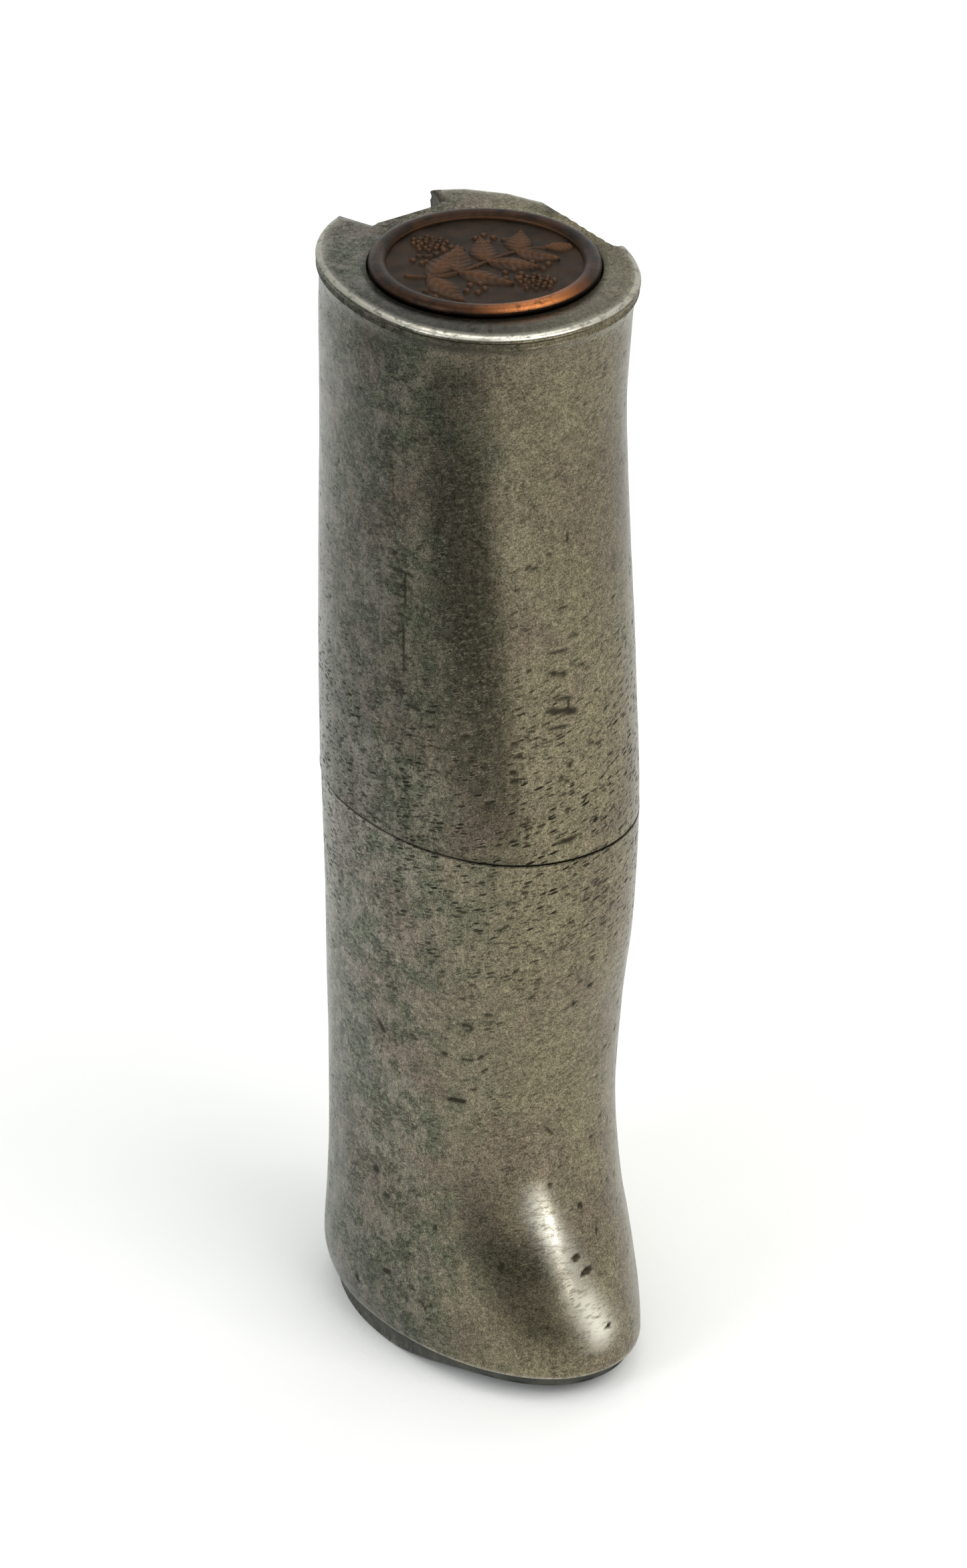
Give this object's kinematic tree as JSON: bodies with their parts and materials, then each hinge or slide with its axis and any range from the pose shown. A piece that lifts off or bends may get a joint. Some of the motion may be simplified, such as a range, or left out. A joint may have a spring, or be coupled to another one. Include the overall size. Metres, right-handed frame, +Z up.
{
  "type": "lead holder",
  "caption": "Figural lead holder in the shape of a boot: cast-metal body with a screw chuck and spare-lead magazine under a pull-off cap topped by a bronze medallion.",
  "frame": {"origin": "on the resting plane of the sole, on the axis of the bore, collar and chuck", "axes": "+Z up along the bore's axis towards the crown, -Y towards the toe, +X towards the boot's left side"},
  "size_m": [0.0209, 0.03, 0.086],
  "materials": {
    "casting": "cast white metal with a dull mottled patina, fine pits and polished edges",
    "medal": "dark bronze patina, worn coppery on the rim",
    "sole": "dark, rough and unpolished",
    "steel": "plain turned steel",
    "brass": "turned brass, slightly tarnished",
    "wood": "turned close-grained wood",
    "felt": "thin pressed felt",
    "lead": "drawing lead, dull dark grey with a slight sheen"
  },
  "bodies": {
    "boot": {"boot_body": "casting", "sole_plate": "sole", "sole_screw_toe": "steel", "sole_screw_heel": "steel", "locating_dowel": "steel", "collar_tube": "brass", "friction_ring": "steel", "felt_pad": "felt", "lead_magazine": "wood", "barrel_tube": "brass", "lead_stop": "steel", "chuck_body": "brass", "collet": "steel"},
    "cap": {"cap_shell": "casting", "medallion_face": "medal", "medallion_back": "brass", "medallion_shank": "brass", "shank_pin": "steel"},
    "closing_ring": {"closing_ring": "steel"},
    "chuck_nut": {"chuck_nut": "brass"},
    "drawing_lead": {"drawing_lead": "lead"},
    "spare_lead_1": {"spare_lead_1": "lead"},
    "spare_lead_2": {"spare_lead_2": "lead"},
    "spare_lead_3": {"spare_lead_3": "lead"},
    "spare_lead_4": {"spare_lead_4": "lead"},
    "spare_lead_5": {"spare_lead_5": "lead"},
    "spare_lead_6": {"spare_lead_6": "lead"}
  },
  "joints": [
    {"name": "cap_pull", "type": "slide", "parent": "boot", "child": "cap", "axis": [0, 0, 1], "range_m": [0, 0.045]},
    {"name": "ring_close", "type": "slide", "parent": "boot", "child": "closing_ring", "axis": [0, 0, 1], "range_m": [0, 0.001]},
    {"name": "nut_turn", "type": "hinge", "parent": "closing_ring", "child": "chuck_nut", "pos_m": [0, 0, 0.0465], "axis": [0, 0, 1], "range_deg": [0, 360]},
    {"name": "lead_feed", "type": "slide", "parent": "boot", "child": "drawing_lead", "axis": [0, 0, 1], "range_m": [0, 0.007]},
    {"name": "spare_lead_1_pull", "type": "slide", "parent": "boot", "child": "spare_lead_1", "axis": [0, 0, 1], "range_m": [0, 0.022]},
    {"name": "spare_lead_2_pull", "type": "slide", "parent": "boot", "child": "spare_lead_2", "axis": [0, 0, 1], "range_m": [0, 0.022]},
    {"name": "spare_lead_3_pull", "type": "slide", "parent": "boot", "child": "spare_lead_3", "axis": [0, 0, 1], "range_m": [0, 0.022]},
    {"name": "spare_lead_4_pull", "type": "slide", "parent": "boot", "child": "spare_lead_4", "axis": [0, 0, 1], "range_m": [0, 0.022]},
    {"name": "spare_lead_5_pull", "type": "slide", "parent": "boot", "child": "spare_lead_5", "axis": [0, 0, 1], "range_m": [0, 0.022]},
    {"name": "spare_lead_6_pull", "type": "slide", "parent": "boot", "child": "spare_lead_6", "axis": [0, 0, 1], "range_m": [0, 0.022]}
  ],
  "couplings": [
    {"joint": "nut_turn", "follows": "ring_close", "rad_per_m": 6283.2}
  ]
}
